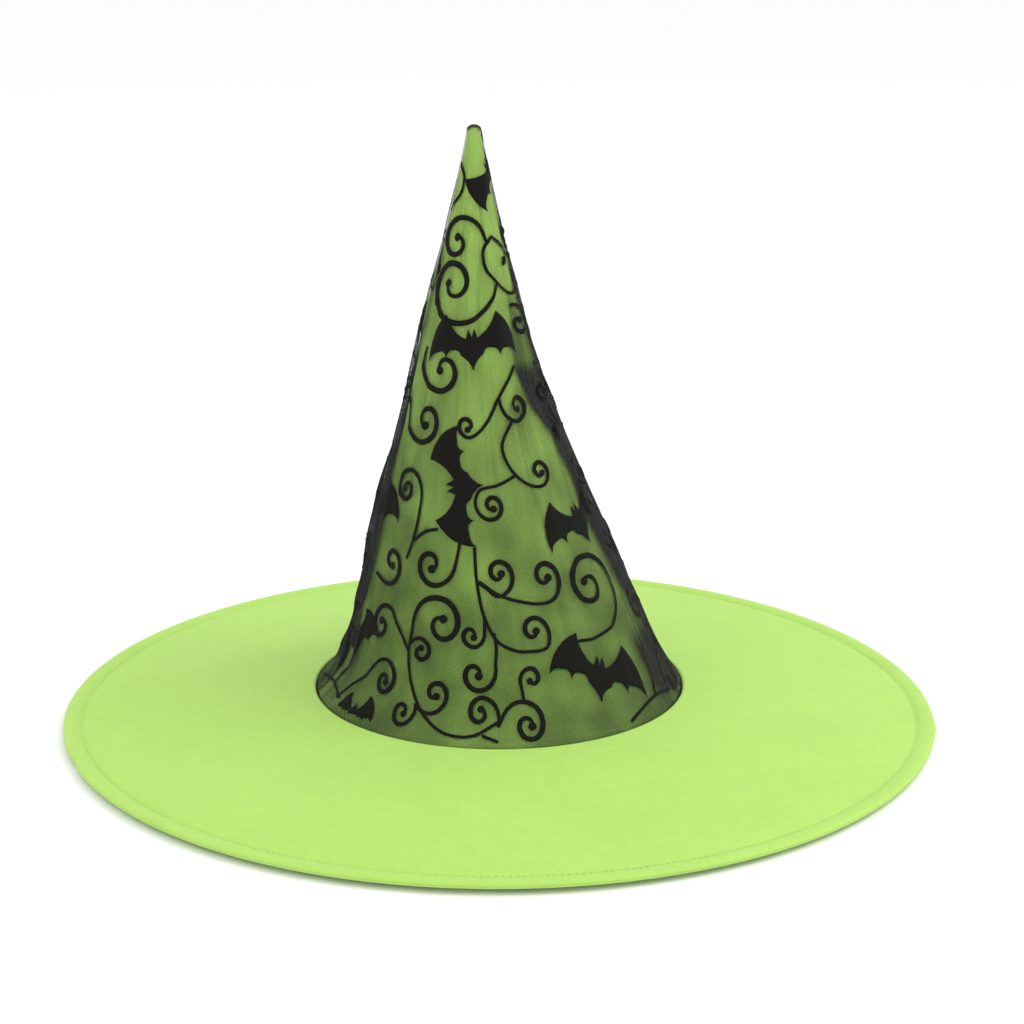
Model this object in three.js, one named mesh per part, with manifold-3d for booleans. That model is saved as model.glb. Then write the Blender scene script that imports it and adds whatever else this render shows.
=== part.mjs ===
// A pointed costume hat: a wide lined brim on a wire hoop, and a tall leaning cloth crown
// under a skin of flocked net, sewn to the brim around the head opening.
// Millimetres, +Z up. The brim is centred on the Z axis and its rim stands on z = 0.
import * as THREE from "three";
import Module from "manifold-3d";
import { mergeVertices } from "three/addons/utils/BufferGeometryUtils.js";

const wasm = await Module();
wasm.setup();

// Overall sizes
const brimRadius = 216; // centre to the outer edge
const brimRise = 15.1; // rim plane to the crown seam
const crownHeight = 276.5; // crown seam to tip
const crownRadius = 91.4; // outside of the crown at its seam

// Shape of the crown
const tipRadius = 2.5; // blunt end of the cone
const crownFlare = 8.4; // spread of the base where it is eased onto the brim
const flareHeight = 12.5; // height in which most of that spread is lost
const crownHollow = 1.13; // 1 is a straight cone, more bows its sides inwards
const crownLean = -12.2; // sideways drift of the tip
const leanHeight = 180; // height above the seam at which the drift stops
const crownDepthGain = 4; // extra half-depth, front to back, at mid height
const tipCap = 1.5; // cloth bunched in the closed tip

// Materials that the hat is cut from
const clothThickness = 0.5; // woven cloth of the crown and brim
const netThickness = 0.4; // net with its flock
const liningThickness = 0.8; // non-woven stiffener
const threadDiameter = 0.4; // sewing thread
const tackDiameter = 0.6; // the doubled thread of the tip and the back seam
const gap = 0.3; // clearance between pieces that touch

// Edge of the brim: a wire hoop in a sewn channel
const channelWidth = 9; // channel stitching to the outer edge
const channelFoot = 4.5; // flat band under the wire, on which the hat stands
const edgeRound = 2; // rounding of the folded edge
const wireDiameter = 1.2;
const wireGap = 1.5; // between the two ends of the hoop
const joinTurn = -9.5; // degrees from +X to the join of the hoop
const sleeveWall = 0.3;
const sleeveFit = 0.2; // around the wire, inside the sleeve
const sleeveLength = 30;
const stitchLift = 1; // the channel seam pulls the cloth up off the ground by this much
const stiffenerInset = 2.5; // the brim stiffener stops this far inside the channel seam

// Head opening
const seamAllowance = 10; // cloth turned down inside the opening
const seamDrop = 4; // crown seam below the top of the brim
const bastingDrop = 7; // basting of the net below the top of the brim
const bandThickness = 0.8; // sweatband tape
const bandReach = 15; // sweatband above the crown seam
const bandStitchLift = 2; // its stitching above its lower edge
const stiffenerShort = 45; // crown stiffener stops this far below the tip
const seamThreadShort = 22; // and the thread of the back seam this far
const tackDrop = 7; // the tack around the tip, below the end of the cone

// Care label, caught in the back seam
const labelWidth = 25;
const labelLength = 35;
const labelThickness = 0.5;
const labelLift = 30; // its lower edge above the crown seam
const labelTurn = 20; // degrees around from the back seam
const labelStandOff = 2.2; // clear of the curved stiffener behind it

const ringSides = 40; // every ring has the same sides, so nested rings stay apart
const threadSides = 5;
const crownRows = 11;

const tipHeight = brimRise + crownHeight;
const sleeveDiameter = wireDiameter + 2 * (sleeveFit + sleeveWall);
const channelHeight = sleeveDiameter + 2 * gap;
const stitchRadius = brimRadius - channelWidth;
const footOuter = brimRadius - edgeRound;
const footInner = footOuter - channelFoot;
const wireRadius = (footOuter + footInner) / 2;
const rimMiddle = clothThickness + channelHeight / 2;
const stiffenerRadius = stitchRadius - stiffenerInset;
const stackHeight = 2 * (clothThickness + gap) + liningThickness;

// Depth of each crown layer inside the outer surface of the crown
const clothDepth = netThickness + gap;
const stiffenerDepth = clothDepth + clothThickness + gap;
const bandDepth = stiffenerDepth + liningThickness + 1.5 * gap;
const lipInner = crownRadius + gap;
const lipOuter = lipInner + clothThickness;
const allowanceEnd = brimRise - seamAllowance;

const lime = cloth(0x9fd94e, 0.75);
const limeShade = cloth(0x8cc747, 0.8);
const blackNet = cloth(0x1c211a, 0.95);
const stiffener = cloth(0xe6e7e0, 0.95);
const limeThread = cloth(0x93cf49, 0.6);
const blackThread = cloth(0x161616, 0.6);
const tape = cloth(0x1b1c1b, 0.85);
const labelSatin = cloth(0xf2f2ee, 0.5);
const springSteel = new THREE.MeshStandardMaterial({ color: 0xa9adb0, roughness: 0.35, metalness: 1 });
const sleevePlastic = new THREE.MeshStandardMaterial({ color: 0x202224, roughness: 0.5, metalness: 0 });

function cloth(color, roughness) {
  return new THREE.MeshStandardMaterial({ color, roughness, metalness: 0 });
}

// A solid of revolution about Z, from a profile of [radius, height] points.
function turned(profile) {
  const points = profile.map(([radius, height]) => new THREE.Vector2(radius, height));
  return new THREE.LatheGeometry(points, ringSides).rotateX(Math.PI / 2);
}

// A closed ring whose lower face runs through the points given and whose upper face is above it.
function layer(lowerFace, thickness) {
  const upperFace = lowerFace.map(([radius, height]) => [radius, height + thickness]).reverse();
  return turned([...lowerFace, ...upperFace, lowerFace[0]]);
}

// A closed ring of round thread or wire.
function threadRing(radius, height, diameter) {
  const profile = [];
  for (let side = 0; side <= threadSides; side++) {
    const angle = ((side % threadSides) / threadSides) * 2 * Math.PI;
    profile.push([radius + (diameter / 2) * Math.cos(angle), height + (diameter / 2) * Math.sin(angle)]);
  }
  return turned(profile);
}

// Radius of the crown's outer surface at a height, before it leans.
function crownRadiusAt(height) {
  const up = THREE.MathUtils.clamp((height - brimRise) / crownHeight, 0, 1);
  const cone = tipRadius + (crownRadius - crownFlare - tipRadius) * (1 - up) ** crownHollow;
  return cone + crownFlare * Math.exp(-Math.max(0, height - brimRise) / flareHeight);
}

function leanAt(height) {
  return crownLean * THREE.MathUtils.smoothstep(height, brimRise, brimRise + leanHeight);
}

// The crown is a little deeper, front to back, than it is wide.
function depthScaleAt(height) {
  const up = THREE.MathUtils.clamp((height - brimRise) / crownHeight, 0, 1);
  return 1 + (crownDepthGain * Math.sin(Math.PI * up)) / crownRadiusAt(height);
}

// Shifts and deepens a turned piece so that it follows the leaning crown.
function leaned(geometry) {
  const position = geometry.attributes.position;
  for (let i = 0; i < position.count; i++) {
    const height = position.getZ(i);
    position.setX(i, position.getX(i) + leanAt(height));
    position.setY(i, position.getY(i) * depthScaleAt(height));
  }
  return geometry;
}

// Heights between two levels, closer together near the base, where the crown curves most.
function crownHeights(from, to) {
  const heights = [];
  for (let row = 0; row <= crownRows; row++) {
    const height = brimRise + crownHeight * (row / crownRows) ** 1.6;
    if (height > from + 1 && height < to - 1) {
      heights.push(height);
    }
  }
  return [from, ...heights, to];
}

function crownFace(depth, from, to) {
  return crownHeights(from, to).map((height) => [crownRadiusAt(height) - depth, height]);
}

// A crown layer closed at the tip, with its allowance turned down inside the opening.
function closedCone(depth, thickness, top) {
  const outside = crownFace(depth, brimRise, top);
  const inside = crownFace(depth + thickness, brimRise, top - tipCap).reverse();
  const base = crownRadius - depth;
  const hem = [[base - thickness, allowanceEnd], [base, allowanceEnd]];
  return leaned(turned([[0, top - tipCap], ...inside, ...hem, ...outside, [0, top]]));
}

// A crown layer open at both ends.
function openCone(depth, thickness, from, to) {
  const outside = crownFace(depth, from, to);
  const inside = crownFace(depth + thickness, from, to).reverse();
  return leaned(turned([...outside, ...inside, outside[0]]));
}

// Underside of the brim's stack at a radius inside the channel: a shallow cone.
function brimUnderside(radius) {
  const toHole = (stiffenerRadius - radius) / (stiffenerRadius - lipInner);
  const edgeLift = stitchLift * 0.6;
  return edgeLift + (brimRise - stackHeight - edgeLift) * toHole;
}

function underCloth() {
  const holeRadius = lipOuter + gap;
  const lowerFace = [
    [holeRadius, brimUnderside(holeRadius)],
    [stiffenerRadius, brimUnderside(stiffenerRadius)],
    [stitchRadius, stitchLift],
    [footInner, 0],
    [footOuter, 0],
    [brimRadius, rimMiddle - gap / 2 - clothThickness],
  ];
  return layer(lowerFace, clothThickness);
}

function brimStiffener() {
  const raise = clothThickness + gap;
  const holeRadius = lipOuter + gap;
  const edge = stiffenerRadius - gap;
  return layer([[holeRadius, brimUnderside(holeRadius) + raise], [edge, brimUnderside(edge) + raise]], liningThickness);
}

// The top cloth turns down at the opening, where the crown is sewn to it.
function topCloth() {
  const raise = stackHeight - clothThickness;
  const lowerFace = [
    [lipOuter, brimUnderside(lipOuter) + raise],
    [stiffenerRadius, brimUnderside(stiffenerRadius) + raise],
    [stitchRadius, stitchLift + clothThickness + gap],
    [footInner, clothThickness + channelHeight],
    [footOuter, clothThickness + channelHeight],
    [brimRadius, rimMiddle + gap / 2],
  ];
  const upperFace = lowerFace.slice(1).map(([radius, height]) => [radius, height + clothThickness]).reverse();
  const lip = [[lipInner, allowanceEnd], [lipOuter, allowanceEnd]];
  return turned([...lip, ...lowerFace, ...upperFace, [lipInner, brimRise], lip[0]]);
}

function toSolid(geometry) {
  const bare = geometry.clone();
  bare.deleteAttribute("normal");
  bare.deleteAttribute("uv");
  const merged = mergeVertices(bare, 1e-4);
  return new wasm.Manifold(new wasm.Mesh({
    numProp: 3,
    vertProperties: new Float32Array(merged.attributes.position.array),
    triVerts: new Uint32Array(merged.index.array),
  }));
}

function toGeometry(solid) {
  const mesh = solid.getMesh();
  const geometry = new THREE.BufferGeometry();
  geometry.setAttribute("position", new THREE.BufferAttribute(new Float32Array(mesh.vertProperties), 3));
  geometry.setIndex([...mesh.triVerts]);
  return geometry;
}

// A block across the rim at the join of the hoop, a little to the front of +X.
function joinBlock(length) {
  const width = 4 * channelHeight;
  const block = new THREE.BoxGeometry(width, length, width).translate(wireRadius, 0, rimMiddle);
  return toSolid(block.rotateZ(THREE.MathUtils.degToRad(joinTurn)));
}

function edgeWire() {
  const ring = toSolid(threadRing(wireRadius, rimMiddle, wireDiameter));
  return toGeometry(ring.subtract(joinBlock(wireGap)));
}

function wireSleeve() {
  const outside = toSolid(threadRing(wireRadius, rimMiddle, sleeveDiameter));
  const bore = toSolid(threadRing(wireRadius, rimMiddle, sleeveDiameter - 2 * sleeveWall));
  return toGeometry(outside.subtract(bore).intersect(joinBlock(sleeveLength)));
}

// Thread of the seam that closes the crown, on its inside along the back.
function backSeamThread() {
  const depth = stiffenerDepth + liningThickness + gap + tackDiameter / 2;
  const start = brimRise + bandReach + 2;
  const end = tipHeight - seamThreadShort;
  const points = crownHeights(start, end).map((height) => {
    const across = (crownRadiusAt(height) - depth) * depthScaleAt(height);
    return new THREE.Vector3(leanAt(height), across, height);
  });
  const section = new THREE.Shape();
  for (let side = 0; side < threadSides; side++) {
    const angle = (side / threadSides) * 2 * Math.PI;
    const corner = new THREE.Vector2(Math.cos(angle), Math.sin(angle)).multiplyScalar(tackDiameter / 2);
    if (side === 0) {
      section.moveTo(corner.x, corner.y);
    } else {
      section.lineTo(corner.x, corner.y);
    }
  }
  const path = new THREE.CatmullRomCurve3(points);
  return new THREE.ExtrudeGeometry(section, { steps: points.length * 2, extrudePath: path, bevelEnabled: false });
}

function tipTack() {
  const height = tipHeight - tackDrop;
  const radius = crownRadiusAt(height) + gap + tackDiameter;
  return leaned(threadRing(radius, height, tackDiameter));
}

// The label lies along the inside of the crown, beside the back seam.
function careLabel() {
  const middle = brimRise + labelLift + labelLength / 2;
  const wallRadius = (height) => crownRadiusAt(height) - stiffenerDepth - liningThickness;
  const spread = wallRadius(middle - labelLength / 2) - wallRadius(middle + labelLength / 2);
  const geometry = new THREE.BoxGeometry(labelWidth, labelThickness, labelLength);
  geometry.rotateX(Math.atan2(spread, labelLength));
  geometry.translate(0, wallRadius(middle) - labelStandOff, middle);
  geometry.rotateZ(THREE.MathUtils.degToRad(labelTurn));
  return geometry.translate(leanAt(middle), 0, 0);
}

const hat = new THREE.Group();
const crown = new THREE.Group();
const brim = new THREE.Group();
const opening = new THREE.Group();
hat.add(crown, brim, opening);

function addPiece(group, name, geometry, material) {
  const mesh = new THREE.Mesh(geometry, material);
  mesh.name = name;
  group.add(mesh);
}

const seamThreadDepth = stiffenerDepth + threadDiameter / 2;
const bandInner = crownRadius - bandDepth - bandThickness;

addPiece(crown, "crown_net_overlay", closedCone(0, netThickness, tipHeight), blackNet);
addPiece(crown, "crown_cloth", closedCone(clothDepth, clothThickness, tipHeight - tipCap - gap), lime);
addPiece(crown, "crown_stiffener",
  openCone(stiffenerDepth, liningThickness, brimRise + 1, tipHeight - stiffenerShort), stiffener);
addPiece(crown, "crown_back_seam_thread", backSeamThread(), limeThread);
addPiece(crown, "tip_tack_thread", tipTack(), blackThread);

addPiece(brim, "brim_top_cloth", topCloth(), lime);
addPiece(brim, "brim_stiffener", brimStiffener(), stiffener);
addPiece(brim, "brim_under_cloth", underCloth(), limeShade);
addPiece(brim, "brim_edge_wire", edgeWire(), springSteel);
addPiece(brim, "wire_end_sleeve", wireSleeve(), sleevePlastic);
addPiece(brim, "edge_seam_thread", threadRing(footOuter + edgeRound / 3, rimMiddle, threadDiameter), limeThread);
addPiece(brim, "channel_needle_thread",
  threadRing(stitchRadius, stitchLift + 2 * (clothThickness + gap) + threadDiameter / 2, threadDiameter), limeThread);
addPiece(brim, "channel_bobbin_thread",
  threadRing(stitchRadius, stitchLift - gap - threadDiameter / 2, threadDiameter), limeThread);

addPiece(opening, "crown_seam_needle_thread",
  threadRing(crownRadius - seamThreadDepth, brimRise - seamDrop, threadDiameter), limeThread);
addPiece(opening, "crown_seam_bobbin_thread",
  threadRing(lipOuter + gap + threadDiameter / 2, brimRise - seamDrop, threadDiameter), limeThread);
addPiece(opening, "net_basting_thread",
  threadRing(crownRadius - seamThreadDepth, brimRise - bastingDrop, threadDiameter), blackThread);
addPiece(opening, "sweatband", openCone(bandDepth, bandThickness, allowanceEnd, brimRise + bandReach), tape);
addPiece(opening, "sweatband_thread",
  threadRing(bandInner - gap - threadDiameter / 2, allowanceEnd + bandStitchLift, threadDiameter), blackThread);
addPiece(opening, "care_label", careLabel(), labelSatin);

export default hat;
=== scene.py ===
import math

import bmesh
import bpy
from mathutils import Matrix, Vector, noise
from mathutils.geometry import delaunay_2d_cdt


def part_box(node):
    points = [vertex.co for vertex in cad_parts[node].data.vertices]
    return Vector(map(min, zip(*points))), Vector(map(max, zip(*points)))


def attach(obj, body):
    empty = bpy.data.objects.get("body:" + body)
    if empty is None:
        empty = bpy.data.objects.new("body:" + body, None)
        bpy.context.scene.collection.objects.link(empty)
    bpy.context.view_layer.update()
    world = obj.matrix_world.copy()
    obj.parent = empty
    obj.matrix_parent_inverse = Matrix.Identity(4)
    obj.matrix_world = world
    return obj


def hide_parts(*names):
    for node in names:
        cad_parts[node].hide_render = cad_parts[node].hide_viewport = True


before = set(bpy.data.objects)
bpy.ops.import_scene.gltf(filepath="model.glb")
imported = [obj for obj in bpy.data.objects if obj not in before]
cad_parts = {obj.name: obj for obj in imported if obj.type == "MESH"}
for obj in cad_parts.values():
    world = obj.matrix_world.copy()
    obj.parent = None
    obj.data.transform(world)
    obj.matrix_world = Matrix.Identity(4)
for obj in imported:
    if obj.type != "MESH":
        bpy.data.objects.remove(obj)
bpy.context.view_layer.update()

mm = 0.001

# Sizes that come with the frame
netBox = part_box("crown_net_overlay")
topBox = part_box("brim_top_cloth")
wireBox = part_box("brim_edge_wire")
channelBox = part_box("channel_needle_thread")
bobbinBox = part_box("channel_bobbin_thread")
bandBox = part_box("sweatband")
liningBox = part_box("crown_stiffener")
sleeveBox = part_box("wire_end_sleeve")
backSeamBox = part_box("crown_back_seam_thread")
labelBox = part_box("care_label")
brimRadius = topBox[1].x
seamHeight = topBox[1].z
crownRadius = netBox[1].x
tipHeight = netBox[1].z
allowanceEnd = netBox[0].z
crownHeight = tipHeight - seamHeight
slant = math.hypot(crownHeight, crownRadius)
fanShare = crownRadius / slant  # turn on the flat pattern for each radian around the crown
threadSize = channelBox[1].z - channelBox[0].z
stitchRadius = channelBox[1].x - threadSize / 2
wireSize = wireBox[1].z - wireBox[0].z
wireRadius = wireBox[1].x - wireSize / 2
joinTurn = math.atan2(sleeveBox[0].y + sleeveBox[1].y, sleeveBox[0].x + sleeveBox[1].x)
openingRadius = crownRadius + 0.3 * mm
rimTop = 3.3 * mm  # the sewn rim presses a little flatter than its channel
rimMiddle = rimTop / 2

cameraSetup = {"place": (0.0064, -1.1, 0.4262), "pitch": 73.61, "lens": 81.99}

crownShape = {
    "tipRadius": 2.4 * mm,
    "tipRound": 0.011,  # share of the slant in which the tip closes
    "flare": 8.4 * mm,
    "flareHeight": 12.5 * mm,
    "flareUneven": 0.35,  # how much higher it reaches at the right
    "hollow": 1.13,
    "lean": -11.4 * mm,
    "leanHeight": 180 * mm,
    "depthGain": 4 * mm,
    "netInset": 0.7 * mm,  # the cloth lies this far inside the net
    "around": 256,
    "netAround": 336,
    "netThickness": 0.1 * mm,
    "rows": 150,
    "netRows": 126,
    "rowCrowding": 1.15,  # above 1 the rows lie closer together near the tip
    "seamDepth": 0.7 * mm,  # the back seam draws the cloth in
    "seamWidth": 1.6 * mm,
    "outward": 0.95,  # the cloth's own outward direction, sideways and up
    "upward": 0.3,
}

# Soft unevenness of the crown cloth, and where it is drawn in or filled out: (share of the slant, width)
clothSet = {
    "sway": 1.6 * mm,
    "fold": 1.6 * mm,
    "crinkle": 0.7 * mm,
    "drawnIn": 0.9 * mm,
    "waist": 0.9 * mm,
    "waistAt": (0.45, 0.12),
    "leftBulge": 1.6 * mm,
    "leftBulgeAt": (0.68, 0.08),
}

# Each crease runs down the crown through (share of the slant, degrees round from the front).
creases = [
    {"path": [(0.33, 30), (0.40, 38), (0.46, 47), (0.53, 61), (0.60, 68), (0.68, 70), (0.85, 80)],
     "fade": (0.34, 0.42, 0.66, 0.84), "ridge": 2.0 * mm, "hollow": 5.0 * mm, "side": 1, "width": 3.2 * mm},
    {"path": [(0.36, -66), (0.5, -68), (0.66, -70), (0.8, -69), (0.9, -82), (0.97, -100)],
     "fade": (0.34, 0.46, 0.84, 0.97), "ridge": 1.6 * mm, "hollow": 4.5 * mm, "side": -1, "width": 4.0 * mm},
    {"path": [(0.2, 150), (0.5, 140), (0.95, 128)],
     "fade": (0.25, 0.45, 0.7, 0.95), "ridge": 2.0 * mm, "hollow": 4.0 * mm, "side": -1, "width": 6.0 * mm},
    {"path": [(0.3, -128), (0.6, -142), (0.95, -150)],
     "fade": (0.3, 0.5, 0.75, 0.95), "ridge": 1.8 * mm, "hollow": 3.5 * mm, "side": 1, "width": 6.0 * mm},
    {"path": [(0.40, 38), (0.50, 16), (0.60, -4)],
     "fade": (0.40, 0.44, 0.50, 0.60), "ridge": 0.6 * mm, "hollow": 0.8 * mm, "side": 1, "width": 3.0 * mm},
]

# Where the net is drawn darker: bands from an edge (share, degrees) on round, as strong as given; partly
# gathered net, partly painted shade on the flanks beyond the creases and round the sides, which turn from the
# light.
netGathersAndShade = [
    {"edge": [(0.385, 34), (0.45, 43), (0.53, 58), (0.60, 64), (0.68, 66), (0.76, 72), (0.86, 77)], "to": 106,
     "fade": (0.375, 0.43, 0.72, 0.92), "strength": 0.95},
    {"edge": [(0.27, 50), (0.39, 42)], "to": 102, "fade": (0.26, 0.32, 0.36, 0.42), "strength": 0.3},
    {"edge": [(0.42, -68), (0.55, -66), (0.68, -64), (0.85, -70)], "to": -108,
     "fade": (0.42, 0.52, 0.76, 0.94), "strength": 0.75},
    {"edge": [(0.86, 60), (0.97, 66)], "to": 108, "fade": (0.86, 0.91, 0.96, 1.0), "strength": 0.5},
]
# Reach of a crease in its own widths, and the share of its hollow that the net bridges
creaseForm = {"farSide": 1.6, "hollowAt": 2.4, "hollowWidth": 1.5, "bridged": 0.55}

# Front wrinkles fan out from a point (share of the slant, radians round).
wrinkleSet = {
    "focus": (0.39, math.radians(36)),
    "height": 0.5 * mm,
    "folds": 8,
    "phase": 1.0,
    "begin": (3 * mm, 18 * mm),
    "end": (30 * mm, 100 * mm),
    "above": (-8 * mm, 10 * mm),
}

# Loose waves of the net: how many there are round the tip and lower down, and where that changes
rippleSet = {"few": 6, "many": 15, "fine": 26, "fineShare": 0.5, "base": 0.12, "change": (0.25, 0.5)}
netSet = {
    "frontSlack": 0.5,
    "backSlack": 1.6,
    "slackFrom": 0.3,  # share of the slack that is left near the tip
    "slackAt": (0.15, 0.5),
    "sides": (1.0, 1.4),  # radians round at which the net comes loose
    # The bands are net drawn darker: partly gathered net, partly painted shade.
    "edgeSoft": (-2, 3),  # degrees in which a gathered band begins
    "bandFade": 26,  # degrees in which it ends
    "bandTone": 0.75,
    "bandStreaks": 0.5,
    # Darker streaks over the loose sides and back: partly rippled net, partly painted shade near the sides.
    "looseStreaksAndShade": 0.6,
}

# The hoop isn't quite round, and its front stands a little off the table.
brimSet = {
    "lift": 2.4 * mm,
    "liftAt": -105,
    "liftNarrow": 4,
    "backIn": 1.4 * mm,
    "from": 100 * mm,
    "to": 200 * mm,
    "joinBulge": 0.9 * mm,
    "joinWidth": 2.4,
    "tuck": 1.1 * mm,
    "tuckAt": -158,
    "tuckWidth": 2.2,
    "tuckFolds": 90,
}


def smooth(value, low, high):
    share = min(1.0, max(0.0, (value - low) / (high - low)))
    return share * share * (3 - 2 * share)


def bell(value, middle, width):
    # 1 at the middle, falling off smoothly to both sides.
    return math.exp(-((value - middle) / width) ** 2)


def follow(path, value):
    # Eased interpolation through (place, value) pairs.
    for (fromPlace, fromValue), (toPlace, toValue) in zip(path, path[1:]):
        if value <= toPlace:
            return fromValue + (toValue - fromValue) * smooth(value, fromPlace, toPlace)
    return path[-1][1]


def wrapped(turn):
    return (turn + math.pi) % (2 * math.pi) - math.pi


def creaseAt(turn, drop, radius, slack):
    # Radial push of all creases: a sharp ridge with a hollow on one side of it.
    push = 0.0
    for crease in creases:
        start, full, hold, end = crease["fade"]
        strength = smooth(drop, start, full) * (1 - smooth(drop, hold, end))
        if strength > 0:
            away = wrapped(turn - math.radians(follow(crease["path"], drop))) * radius * crease["side"]
            width = crease["width"]
            reach = creaseForm["farSide"] * width if away < 0 else width
            ridge = crease["ridge"] * math.exp(-abs(away) / reach)
            hollow = crease["hollow"] * bell(away, creaseForm["hollowAt"] * width,
                                             creaseForm["hollowWidth"] * width)
            push += strength * (ridge - hollow * (1 - creaseForm["bridged"] * slack))
    return push


def flatPoint(turn, drop):
    # Where a point of the crown lies on the flat cloth, in metres from the tip.
    return slant * drop * math.sin(turn * fanShare), slant * drop * math.cos(turn * fanShare)


def wrinkleAt(turn, drop):
    # Slack folds that fan out over the front from the start of the right crease.
    focusDrop, focusTurn = wrinkleSet["focus"]
    focus, here = flatPoint(focusTurn, focusDrop), flatPoint(turn, drop)
    across, down = here[0] - focus[0], here[1] - focus[1]
    distance = math.hypot(across, down)
    near = smooth(distance, *wrinkleSet["begin"]) * (1 - smooth(distance, *wrinkleSet["end"]))
    fan = math.cos(wrinkleSet["folds"] * math.atan2(down, -across) + wrinkleSet["phase"])
    return wrinkleSet["height"] * near * fan * smooth(down, *wrinkleSet["above"])


def rippleAt(turn, drop):
    # Loose waves of the net that run down the crown, from 0 to about 1; fewer towards the tip.
    across, deep = math.sin(turn), -math.cos(turn)

    def waves(count, along):
        return noise.noise(Vector((count * across, count * deep, along)))

    few = waves(rippleSet["few"], 4 * drop + 11)
    many = waves(rippleSet["many"], 5 * drop + 11)
    many += rippleSet["fineShare"] * waves(rippleSet["fine"], 11 * drop)
    return max(0.0, few + (many - few) * smooth(drop, *rippleSet["change"]) + rippleSet["base"])


def looseAt(turn):
    # The net is stretched over the front and loose from the sides round the back.
    return smooth(abs(wrapped(turn)), *netSet["sides"])


def gatherAndShadeAt(turn, drop):
    # How dark the net is drawn, from 0 for flat net to 1: partly how closely it is gathered, partly painted
    # shade beyond the creases and round the sides.
    gatherAndShadeAmount = 0.0
    streak = rippleAt(turn, drop)
    for gatherAndShade in netGathersAndShade:
        start, whole, hold, end = gatherAndShade["fade"]
        strength = gatherAndShade["strength"] * smooth(drop, start, whole) * (1 - smooth(drop, hold, end))
        side = math.copysign(1, gatherAndShade["to"])
        away = math.degrees(wrapped(turn)) * side
        edge, last = follow(gatherAndShade["edge"], drop) * side, abs(gatherAndShade["to"])
        begin, full = netSet["edgeSoft"]
        band = smooth(away, edge + begin, edge + full) * (1 - smooth(away, last - netSet["bandFade"], last))
        gatherAndShadeAmount = max(gatherAndShadeAmount, strength * band * (netSet["bandTone"] + netSet["bandStreaks"] * streak))
    return min(1.0, gatherAndShadeAmount + netSet["looseStreaksAndShade"] * looseAt(turn) * streak)


def crownPoint(turn, drop, lift, slack=0.0):
    # turn: radians round from the front; drop: 0 at the tip, 1 at the seam; lift: out of the cloth;
    # slack: 0 for the cloth itself, 1 for the net, which bridges hollows and ripples on its own.
    shape = crownShape
    height = tipHeight - drop * crownHeight if drop < 1 else seamHeight - (drop - 1) * slant
    up = min(1.0, max(0.0, (height - seamHeight) / crownHeight))
    radius = shape["tipRadius"] + (crownRadius - shape["netInset"] - shape["flare"] - shape["tipRadius"]) \
        * (1 - up) ** shape["hollow"]
    across, deep = math.sin(turn), -math.cos(turn)
    spread = shape["flareHeight"] * (1 + shape["flareUneven"] * across)
    radius += shape["flare"] * math.exp(-max(0.0, height - seamHeight) / spread)
    free = smooth(drop, 0.0, 0.25) * (1 - smooth(drop, 0.93, 0.995))
    uneven = noise.noise(Vector((1.2 * across, 1.2 * deep, 2.6 * drop + 5.1))) * clothSet["sway"]
    uneven += noise.noise(Vector((3.4 * across + 7, 3.4 * deep, 3.2 * drop))) * clothSet["fold"]
    uneven += noise.noise(Vector((9 * across, 9 * deep + 3, 11 * drop))) * clothSet["crinkle"]
    uneven += clothSet["leftBulge"] * max(0.0, -across) * bell(drop, *clothSet["leftBulgeAt"])
    uneven -= clothSet["drawnIn"] + clothSet["waist"] * bell(drop, *clothSet["waistAt"])
    radius += free * (uneven + wrinkleAt(turn, drop))
    radius += creaseAt(turn, drop, radius, slack)
    if slack:
        loose = netSet["frontSlack"] + netSet["backSlack"] * looseAt(turn)
        loose *= netSet["slackFrom"] + (1 - netSet["slackFrom"]) * smooth(drop, *netSet["slackAt"])
        radius += slack * free * loose * mm * rippleAt(turn, drop)
    seamTurn = abs(wrapped(turn - math.pi)) * radius
    radius -= shape["seamDepth"] * bell(seamTurn, 0, shape["seamWidth"]) * smooth(drop, 0.02, 0.1)
    radius += lift * shape["outward"]
    if drop < shape["tipRound"]:
        radius *= math.sqrt(max(0.0, 1 - (1 - drop / shape["tipRound"]) ** 2))
    depth = 1 + shape["depthGain"] * math.sin(math.pi * up) / max(radius, mm)
    lean = shape["lean"] * smooth(height, seamHeight, seamHeight + shape["leanHeight"])
    rise = lift * shape["upward"] * smooth(drop, 1.0, 0.97) if drop < 1 else 0.0
    return Vector((radius * across + lean, radius * depth * deep, height + rise))


def fromFlat(across, down):
    return math.atan2(across, down) / fanShare, math.hypot(across, down) / slant


def settled(point):
    # Where a point of an even brim comes to lie on this slightly sprung one.
    radius, turn = math.hypot(point.x, point.y), math.atan2(point.y, point.x)
    reach = smooth(radius, brimSet["from"], brimSet["to"])
    edge = smooth(radius, stitchRadius - 2 * mm, stitchRadius + 3 * mm)
    frontness = 0.5 + 0.5 * math.cos(turn - math.radians(brimSet["liftAt"]))
    lift = brimSet["lift"] * (1 - (1 - frontness) ** 2) ** brimSet["liftNarrow"]
    fromJoin = abs(math.degrees(wrapped(turn - joinTurn)))
    join = brimSet["joinBulge"] * math.exp(-fromJoin / brimSet["joinWidth"])
    fromTuck = wrapped(turn - math.radians(brimSet["tuckAt"]))
    tuck = brimSet["tuck"] * bell(math.degrees(fromTuck), 0, brimSet["tuckWidth"])
    tuck *= abs(math.cos(fromTuck * brimSet["tuckFolds"]))
    outward = edge * (join - tuck) - reach * brimSet["backIn"] * max(0.0, math.sin(turn))
    scale = 1 + outward / max(radius, mm)
    return Vector((point.x * scale, point.y * scale, point.z + reach * lift))


def settle(piece):
    for vertex in piece.data.vertices:
        vertex.co = settled(vertex.co)
    return piece


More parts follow.
